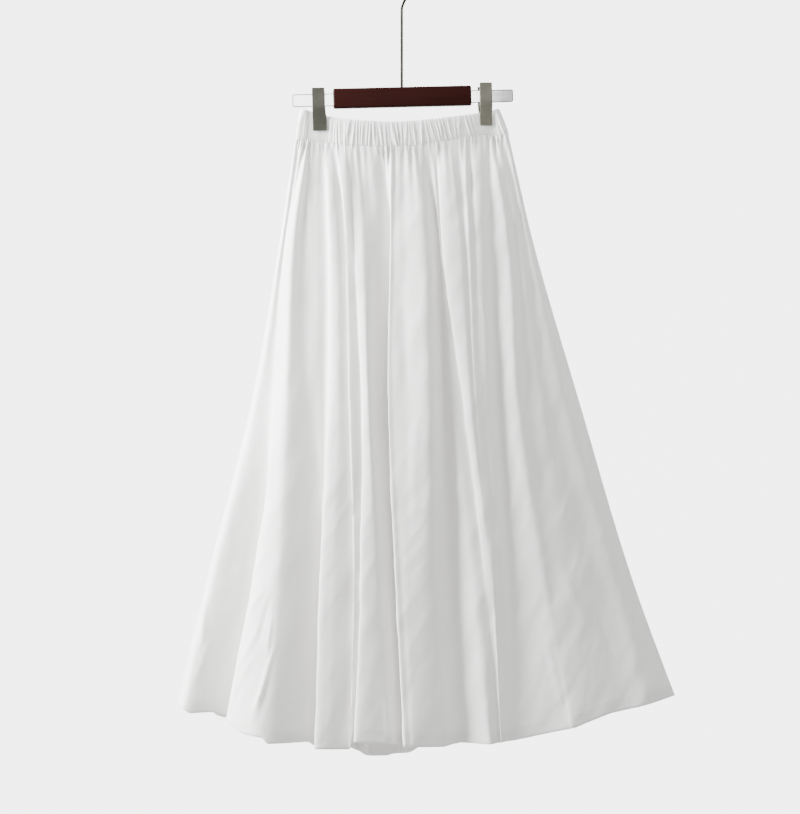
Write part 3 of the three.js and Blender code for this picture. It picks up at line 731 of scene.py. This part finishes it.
def cotton_material():
    material, nodes, links = new_material("cotton")
    body = nodes["Principled BSDF"]
    cut = nodes.new("ShaderNodeUVMap")
    cut.uv_map = "cut"
    parts = nodes.new("ShaderNodeSeparateXYZ")
    on_cut = cut.outputs["UV"]
    links.new(on_cut, parts.inputs["Vector"])
    turns = 2 * math.pi / WEAVE_PITCH
    weft, warp = (
        arithmetic(nodes, links, "SINE", arithmetic(nodes, links, "MULTIPLY", parts.outputs[axis], turns), 0)
        for axis in "XY")
    weave = arithmetic(nodes, links, "MULTIPLY", weft, warp)
    slubs = streaks(nodes, links, on_cut, (1400, 40, 1))
    cross_slubs = streaks(nodes, links, on_cut, (40, 1400, 1))
    threads = arithmetic(nodes, links, "ADD", slubs, cross_slubs)
    crumple = streaks(nodes, links, on_cut, (150, 60, 1), 5)
    crushed = bump(nodes, links, crumple, 0.0008, 0.30)
    crisp = streaks(nodes, links, on_cut, (62, 9, 1), 4)
    crisp.node.noise_type = "RIDGED_MULTIFRACTAL"
    patches = streaks(nodes, links, on_cut, (9, 3.2, 1), 1)
    patches = ramp(nodes, links, patches, (0, 0, 0), (1, 1, 1), 0.48, 0.66)
    soft = bump(nodes, links, arithmetic(nodes, links, "MULTIPLY", crisp, patches), 0.0011, 0.5, crushed)
    woven = bump(nodes, links, arithmetic(nodes, links, "MULTIPLY", weave, 0.5), 0.00008, 0.35, soft)
    fine = bump(nodes, links, threads, 0.00012, 0.35, woven)
    tone = ramp(nodes, links, threads, (0.80, 0.793, 0.775), (0.86, 0.855, 0.84), 0.75, 1.25)
    links.new(tone, body.inputs["Base Color"])
    links.new(fine, body.inputs["Normal"])
    set_sockets(body, {
        "Roughness": 0.92, "Sheen Weight": 0.18, "Sheen Roughness": 0.5, "Specular IOR Level": 0.15})
    through = nodes.new("ShaderNodeBsdfTranslucent")
    through.inputs["Color"].default_value = (0.88, 0.875, 0.86, 1)
    links.new(fine, through.inputs["Normal"])
    mix = nodes.new("ShaderNodeMixShader")
    mix.inputs["Fac"].default_value = 0.24
    links.new(body.outputs["BSDF"], mix.inputs[1])
    links.new(through.outputs["BSDF"], mix.inputs[2])
    links.new(mix.outputs["Shader"], nodes["Material Output"].inputs["Surface"])
    return material


def thread_material():
    material, nodes, links = new_material("thread")
    body = nodes["Principled BSDF"]
    place = object_place(nodes)
    twist = noise_node(nodes, links, place, 2600, 2)
    links.new(ramp(nodes, links, twist, (0.76, 0.75, 0.73), (0.84, 0.83, 0.81)), body.inputs["Base Color"])
    links.new(bump(nodes, links, twist, 0.0001, 0.4), body.inputs["Normal"])
    set_sockets(body, {"Roughness": 0.6})
    return material


cotton, thread = cotton_material(), thread_material()
for piece in (skirt_front, skirt_back, waistband):
    piece.data.materials.append(cotton)
for piece in threads:
    piece.data.materials.append(thread)
print("weave in threads to a centimetre", round(0.02 / WEAVE_PITCH))

# %% [markdown]
# ## Lacquer and metals
# The wood is dark under its lacquer, with straight grain. Metal could be one even grey, but
# drawn and rolled metal has fine marks along the way it was worked, and these spread its
# shine. The strip is polished, with its rim painted nearly black as painted shade, the hook's
# wire is dark, and the clips are one nickel painted in two tones, darker and lighter, for
# the shade and light on each.

# %% Lacquer and metals
def lacquer_material():
    """Dark red-brown lacquer over straight grain."""
    material, nodes, links = new_material("lacquered_wood")
    body = nodes["Principled BSDF"]
    place = object_place(nodes)
    grain = streaks(nodes, links, place, (9, 130, 130), 3)
    pores = streaks(nodes, links, place, (40, 700, 700), 2)
    tone = ramp(nodes, links, grain, (0.011, 0.0016, 0.0010), (0.016, 0.0025, 0.0017))
    links.new(tone, body.inputs["Base Color"])
    links.new(bump(nodes, links, pores, 0.00002, 0.06), body.inputs["Normal"])
    set_sockets(body, {
        "Roughness": 0.45, "Specular IOR Level": 0.06, "Coat Weight": 0.02, "Coat Roughness": 0.2})
    return material


def metal_material(name, low, high, rough, stretch, edge=(1, 1, 1)):
    """Metal with fine marks along one direction. edge is its tint where it is seen at a glance."""
    material, nodes, links = new_material(name)
    body = nodes["Principled BSDF"]
    place = object_place(nodes)
    marks = streaks(nodes, links, place, stretch, 4)
    cloud = noise_node(nodes, links, place, 60, 3)
    links.new(ramp(nodes, links, cloud, low, high), body.inputs["Base Color"])
    links.new(bump(nodes, links, marks, 0.00004, 0.25), body.inputs["Normal"])
    uneven = arithmetic(nodes, links, "MULTIPLY", arithmetic(nodes, links, "ADD", marks, 0.5), rough)
    links.new(uneven, body.inputs["Roughness"])
    set_sockets(body, {"Metallic": 1.0, "Specular Tint": (*edge, 1)})
    return material


lacquer = lacquer_material()
polished = metal_material("polished_steel", (0.9, 0.9, 0.89), (0.95, 0.95, 0.94), 0.035, (30, 1800, 1800))
# The rim is painted nearly black, with a dark edge tint: painted shade and dark reflection along the strip's
# rounded edge.
rim_steel_painted_shade = metal_material(
    "rim_steel_painted_shade", (0.012, 0.012, 0.01), (0.02, 0.02, 0.017), 0.5, (30, 1800, 1800), edge=(0.1, 0.1, 0.09))
wire_steel = metal_material(
    "drawn_wire", (0.013, 0.0125, 0.009), (0.024, 0.023, 0.017), 0.5, (1800, 1800, 30),
    edge=(0.1, 0.1, 0.08))
# Both clips are one nickel, painted in two tones: the left one darker as painted shade, the right one
# lighter as painted light, as the light falls on each. Their axles and coils take the same tones.
nickel = {
    "left": metal_material(
        "nickel_painted_shade", (0.085, 0.085, 0.07), (0.115, 0.114, 0.095), 0.42, (1800, 1800, 40)),
    "right": metal_material(
        "nickel_painted_light", (0.165, 0.16, 0.128), (0.215, 0.208, 0.17), 0.42, (1800, 1800, 40)),
}
print("materials", [material.name for material in bpy.data.materials])

# %% [markdown]
# ## The hanger
# A short lacquered bar is slotted on to a long flat steel strip, and a drawn wire hook
# stands in its middle. The whole hanger hangs 1.35 degrees out of level, its right end up.

# %% Helpers for the hard pieces
TILT = Matrix.Rotation(math.radians(-1.35), 4, "Y")
BAR = Matrix.Translation((0, 0, -190.1 * MM)) @ TILT


def piece_from(name, mesh, place, nodes, material, bevel=0.0):
    obj = bpy.data.objects.new(name, mesh)
    mesh.materials.append(material)
    mesh.polygons.foreach_set("use_smooth", np.ones(len(mesh.polygons), bool))
    if bevel:
        edge = obj.modifiers.new("edges", "BEVEL")
        edge.width = bevel * MM
        edge.segments = 3
        edge.limit_method = "ANGLE"
        edge.harden_normals = True
    return join_the_part(obj, nodes, place)


def swept(name, outline, width):
    """A closed outline of (y, z) in millimetres, swept along X about the middle."""
    count = len(outline)
    vertices = [(side * width / 2 * MM, y * MM, z * MM) for side in (-1, 1) for y, z in outline]
    faces = [tuple(range(count)), tuple(range(2 * count - 1, count - 1, -1))]
    faces += [(k, k + count, (k + 1) % count + count, (k + 1) % count) for k in range(count)]
    mesh = bpy.data.meshes.new(name)
    mesh.from_pydata(vertices, [], faces)
    area = sum(y0 * z1 - y1 * z0 for (y0, z0), (y1, z1) in zip(outline, outline[1:] + outline[:1]))
    if area > 0:
        mesh.flip_normals()
    return mesh


def rounded_outline(depth, height, corner, steps=6):
    points = []
    for cy, cz, start in ((1, 1, 0), (-1, 1, 90), (-1, -1, 180), (1, -1, 270)):
        for k in range(steps + 1):
            angle = math.radians(start + 90 * k / steps)
            points.append((
                cy * (depth / 2 - corner) + corner * math.cos(angle),
                cz * (height / 2 - corner) + corner * math.sin(angle),
            ))
    return points


print("corner points of a rounded outline", len(rounded_outline(10, 10, 1)))

# %% [markdown]
# The bar's long edges and its ends are rounded by the sander before the lacquer, so the
# outline shrinks in a quarter round over its last few millimetres.

# %% The wood bar
WOOD_LENGTH, WOOD_HEIGHT, WOOD_DEPTH, WOOD_ROUND, END_ROUND = 193.5, 28, 15, 3.6, 2.6


def wood_bar_mesh():
    outline = rounded_outline(WOOD_DEPTH, WOOD_HEIGHT, WOOD_ROUND)
    stations = []
    for k in range(7):
        angle = math.radians(90 * k / 6)
        stations.append((END_ROUND * (1 - math.sin(angle)), END_ROUND * (1 - math.cos(angle))))
    halves = [(-WOOD_LENGTH / 2 + along, inset) for inset, along in stations]
    halves += [(-x, inset) for x, inset in reversed(halves)]
    vertices, faces = [], []
    for x, inset in halves:
        for y, z in outline:
            vertices.append((
                x * MM, y * (1 - 2 * inset / WOOD_DEPTH) * MM, z * (1 - 2 * inset / WOOD_HEIGHT) * MM))
    count = len(outline)
    for ring in range(len(halves) - 1):
        for k in range(count):
            a, b = ring * count + k, ring * count + (k + 1) % count
            faces.append((a, b, b + count, a + count))
    faces.append(tuple(reversed(range(count))))
    faces.append(tuple(range(len(vertices) - count, len(vertices))))
    mesh = bpy.data.meshes.new("wood_bar")
    mesh.from_pydata(vertices, [], faces)
    return mesh


wood_bar = piece_from(
    "lacquered_bar", wood_bar_mesh(), BAR @ Matrix.Translation((1.8 * MM, 0, 1.4 * MM)),
    ["wood_bar"], lacquer)
print("wood bar faces", len(wood_bar.data.polygons))

# %% [markdown]
# The strip is thin polished sheet with a fine rounded rim all round. The rim is painted nearly
# black, as painted shade and dark reflection, to draw a thin dark line along its edges. A flat
# sheet with rounded corners makes the face, and a wire bent round the same outline makes the rim.

# %% The steel strip
STRIP_LENGTH, STRIP_HEIGHT, STRIP_THICK, STRIP_CORNER, RIM = 309, 17.8, 1.2, 3.0, 0.75
strip_place = BAR @ Matrix.Translation((2.5 * MM, 0, 0))


def swept_flat(name, outline, thick):
    """A closed outline of (x, z) in millimetres as a sheet of one thickness across Y."""
    mesh = swept(name, [(-x, z) for x, z in outline], thick)
    mesh.transform(Matrix.Rotation(math.pi / 2, 4, "Z"))
    return mesh


inner = rounded_outline(STRIP_LENGTH - RIM, STRIP_HEIGHT - RIM, STRIP_CORNER - RIM / 2)
steel_strip = piece_from(
    "polished_strip", swept_flat("steel_strip", inner, STRIP_THICK), strip_place, ["steel_strip"],
    polished)
for face in steel_strip.data.polygons:
    face.use_smooth = len(face.vertices) == 4
print("strip height in millimetres", STRIP_HEIGHT)

# %% [markdown]
# The hook is one drawn wire, 3.8 mm thick. The picture shows its straight stem. The
# unseen turn over the rail is finished plainly, with the wire bent once to the side.

# %% The hook
WIRE, HOOK_INSIDE, HOOK_SWEEP = 3.8, 20.0, 250
STEM_X, STEM_FOOT, STEM_TOP = 1.0, -180.3, -66
turn = HOOK_INSIDE + WIRE / 2
start = math.radians(-35)
route = [(STEM_X, z) for z in np.linspace(STEM_FOOT, STEM_TOP, 12)]
entry = (turn * math.cos(start), turn * math.sin(start) - HOOK_INSIDE)
knee = entry[1] - (entry[0] - STEM_X) / math.tan(-start)
for t in np.linspace(0, 1, 14)[1:]:
    x = STEM_X + t * t * (entry[0] - STEM_X)
    route.append((x, (1 - t) ** 2 * STEM_TOP + 2 * t * (1 - t) * knee + t * t * entry[1]))
for angle in start + np.radians(np.linspace(0, HOOK_SWEEP, 60))[1:]:
    route.append((turn * math.cos(angle), turn * math.sin(angle) - HOOK_INSIDE))


def wire_curve(name, points, thick, closed=False):
    curve = bpy.data.curves.new(name, "CURVE")
    curve.dimensions = "3D"
    curve.bevel_depth = thick / 2 * MM
    curve.bevel_resolution = 5
    curve.use_fill_caps = True
    spline = curve.splines.new("POLY")
    spline.points.add(len(points) - 1)
    for point, (x, y, z) in zip(spline.points, points):
        point.co = (x * MM, y * MM, z * MM, 1)
    spline.use_smooth = True
    spline.use_cyclic_u = closed
    return curve


def wire_piece(name, points, thick, place, nodes, material, closed=False):
    obj = bpy.data.objects.new(name, wire_curve(name, points, thick, closed))
    obj.data.materials.append(material)
    return join_the_part(obj, nodes, place)


wire_piece(
    "hook_wire", [(x, 0, z) for x, z in route], WIRE, Matrix.Identity(4), ["hook"], wire_steel)
rim_line = rounded_outline(STRIP_LENGTH - 2 * RIM, STRIP_HEIGHT - 2 * RIM, STRIP_CORNER - RIM)
# The rim wire carries the painted shade: its steel is nearly black.
wire_piece(
    "strip_rim", [(x, 0, z) for x, z in rim_line], 2 * RIM, strip_place, [], rim_steel_painted_shade,
    closed=True)
print("hook wire points", len(route))

# %% [markdown]
# Each clip is two bent nickel plates on an axle, pushed together by a coiled spring. The
# plates reach over the strip, and their lower ends hold the band. Squeezing the tops
# opens the jaws, and the clip slides along the strip.

# %% The plates of a clip
CLIP_WIDTH, SHEET = 17.6, 1.2
JAW = [(16.8, 8.2), (-7, 8.2), (-14, 8.8), (-27, 4.2), (-42.9, 4.0)]
FLARE_TOP, FLARE_FOOT = -10, -24
BACK_SHORTER = 4.5


def plate_outline(side, shorter):
    (top, stand), *bends = JAW
    line = [(top - shorter, stand), *bends]
    outside = [(side * (y + SHEET / 2), z) for z, y in line]
    inside = [(side * (y - SHEET / 2), z) for z, y in reversed(line)]
    return outside + inside


def clip_plate(name, side, wider, shorter=0):
    """A bent plate whose right edge widens below the strip."""
    mesh = swept(name, plate_outline(side, shorter), CLIP_WIDTH)
    for vertex in mesh.vertices:
        flare = (FLARE_TOP * MM - vertex.co.z) / ((FLARE_TOP - FLARE_FOOT) * MM)
        if vertex.co.x > 0:
            vertex.co.x += wider * MM * min(max(flare, 0), 1)
    return mesh


print("jaw height in millimetres", JAW[0][0] - JAW[-1][0])

# %% [markdown]
# The front plate has an ear folded back at each side, which carries the axle. The ears are
# small plain boxes, so they are added to the plate's own mesh. The spring is wire, wound
# round the axle, and each of its ends pushes on one plate.

# %% Ears and springs
AXLE_Z, AXLE_LENGTH, AXLE_THICK = -13.2, 16, 2.0
EAR_Y, EAR_DEEP, EAR_HIGH = -3.5, 10.2, 4.2
COIL_TURNS, COIL_STEPS, COIL_RADIUS, COIL_HALF, COIL_WIRE = 8, 16, 1.75, 5.5, 0.8


def add_boxes(mesh, boxes):
    """Adds boxes of (middle, size) in millimetres to a mesh."""
    vertices = [tuple(v.co) for v in mesh.vertices]
    faces = [tuple(f.vertices) for f in mesh.polygons]
    for middle, size in boxes:
        first = len(vertices)
        for x in (-1, 1):
            for y in (-1, 1):
                for z in (-1, 1):
                    vertices.append(tuple(
                        (m + s * h / 2) * MM for m, s, h in zip(middle, (x, y, z), size)))
        sides = [(0, 1, 3, 2), (4, 6, 7, 5), (0, 4, 5, 1), (2, 3, 7, 6), (0, 2, 6, 4), (1, 5, 7, 3)]
        faces += [tuple(first + k for k in side) for side in sides]
    fresh = bpy.data.meshes.new(mesh.name)
    fresh.from_pydata(vertices, [], faces)
    return fresh


def spring_route():
    """Eight turns round the axle, with an arm to each plate."""
    points = [(-5.6, -7.4, AXLE_Z - 4.4)]
    count = COIL_TURNS * COIL_STEPS
    for k in range(count + 1):
        angle = 2 * math.pi * k / COIL_STEPS
        x = -COIL_HALF + 2 * COIL_HALF * k / count
        points.append((x, -COIL_RADIUS * math.cos(angle), AXLE_Z + COIL_RADIUS * math.sin(angle)))
    return points + [(5.6, 7.4, AXLE_Z - 4.4)]


print("spring wire points", len(spring_route()))

# %% [markdown]
# The clips are one shape, used twice. In the picture the right one sits a little higher and
# is turned a little, and the foot of the left one is wider, so each has its own row.

# %% Both clips in place
CLIPS = [
    # side, x, lift, turn in degrees, how much wider the jaw's foot is
    ("left", -115.5, 0.0, 0, 2.0),
    ("right", 117.6, 1.8, 9, 0.0),
]
EDGE_ROUND = 0.35

for side, x, lift, yaw, wider in CLIPS:
    turned = Matrix.Rotation(math.radians(yaw), 4, "Z")
    place = BAR @ Matrix.Translation((x * MM, 0, lift * MM)) @ turned
    ear_x = (CLIP_WIDTH - SHEET) / 2
    ears = [((ear * ear_x, EAR_Y, AXLE_Z), (SHEET, EAR_DEEP, EAR_HIGH)) for ear in (-1, 1)]
    plates = {
        "jaw": add_boxes(clip_plate(f"clip_{side}_jaw", -1, wider), ears),
        "back_jaw": clip_plate(f"clip_{side}_back_jaw", 1, wider, BACK_SHORTER),
    }
    for part, node in (("jaw", "front"), ("back_jaw", "back")):
        piece_from(
            f"clip_{side}_{part}", plates[part], place, [f"clip_{side}_{node}"],
            nickel[side], bevel=EDGE_ROUND)
    axle = [(end * AXLE_LENGTH / 2, 0, AXLE_Z) for end in (-1, 1)]
    wire_piece(f"clip_{side}_axle", axle, AXLE_THICK, place, [], nickel[side])
    wire_piece(
        f"clip_{side}_coil", spring_route(), COIL_WIRE, place, [f"clip_{side}_spring"],
        nickel[side])
print("clips", [side for side, *_ in CLIPS])

# %% [markdown]
# ## Floor and light
# A pale floor lies well below the hem, far enough down to throw little light back up at it.
# A plain lit sheet of paper stands behind, as in a studio.

# %% The stage
FLOOR_Z, FLOOR_RADIUS = -2.6, 1.3
PAPER_PLACE, PAPER_SIZE, PAPER_GLOW = (0, 6.4, -0.62), 3.4, 4.0

bpy.ops.mesh.primitive_circle_add(
    vertices=96, radius=FLOOR_RADIUS, fill_type="NGON", location=(0, 0, FLOOR_Z))
floor = bpy.context.object
floor.name = "floor"
floor_paint, nodes, links = new_material("floor_paint")
place = object_place(nodes)
links.new(
    ramp(nodes, links, noise_node(nodes, links, place, 8, 4), (0.62, 0.62, 0.61), (0.66, 0.66, 0.65)),
    nodes["Principled BSDF"].inputs["Base Color"])
set_sockets(nodes["Principled BSDF"], {"Roughness": 0.8})
floor.data.materials.append(floor_paint)

bpy.ops.mesh.primitive_grid_add(
    x_subdivisions=8, y_subdivisions=8, size=PAPER_SIZE, location=PAPER_PLACE)
backdrop = bpy.context.object
backdrop.name = "backdrop"
backdrop.rotation_euler = (math.pi / 2, 0, 0)
lit_paper, nodes, links = new_material("lit_paper")
set_sockets(nodes["Principled BSDF"], {
    "Base Color": (0.8, 0.8, 0.8, 1), "Roughness": 0.9,
    "Emission Color": (1, 1, 1, 1), "Emission Strength": PAPER_GLOW,
})
backdrop.data.materials.append(lit_paper)
print("floor and backdrop", floor.name, backdrop.name)

# %% [markdown]
# The world gives an even light from all round. A large soft light stands almost square to
# the left side, so flanks that face left are bright and folds shade what lies right of
# them. A weak one lifts the upper right, and a card over the camera is what the polished
# strip mirrors.

# %% The lights
world = bpy.data.worlds.new("studio")
bpy.context.scene.world = world
world.use_nodes = True
WORLD_STRENGTH = 0.9
set_sockets(world.node_tree.nodes["Background"], {"Color": (1, 1, 1, 1), "Strength": WORLD_STRENGTH})


def soft_light(name, place, size, watts, aim):
    light = bpy.data.lights.new(name, "AREA")
    light.shape = "RECTANGLE"
    light.size, light.size_y = size
    light.energy = watts
    obj = bpy.data.objects.new(name, light)
    obj.location = place
    obj.rotation_euler = (Vector(aim) - Vector(place)).to_track_quat("-Z", "Y").to_euler()
    obj.visible_camera = False
    bpy.context.collection.objects.link(obj)
    return obj


soft_light("window_left", (-1.9, -0.36, 0.42), (1.2, 1.4), 500, aim=(0, 0, -0.45))
soft_light("fill_right", (0.9, -0.35, 0.1), (0.4, 0.4), 6, aim=(0.15, 0, -0.45))
soft_light("card_over_camera", (-0.23, -4.3, 0.25), (0.96, 0.6), 7.6, aim=(0, 0, -0.19))
print("world strength", WORLD_STRENGTH)

# %% [markdown]
# The box round the finished piece stays within a few millimetres of its solids' box. The
# front cloth itself lies 2 or 3 mm from its solid on average, and up to 17 mm near the hem.

# %% Update the scene
bpy.context.view_layer.update()
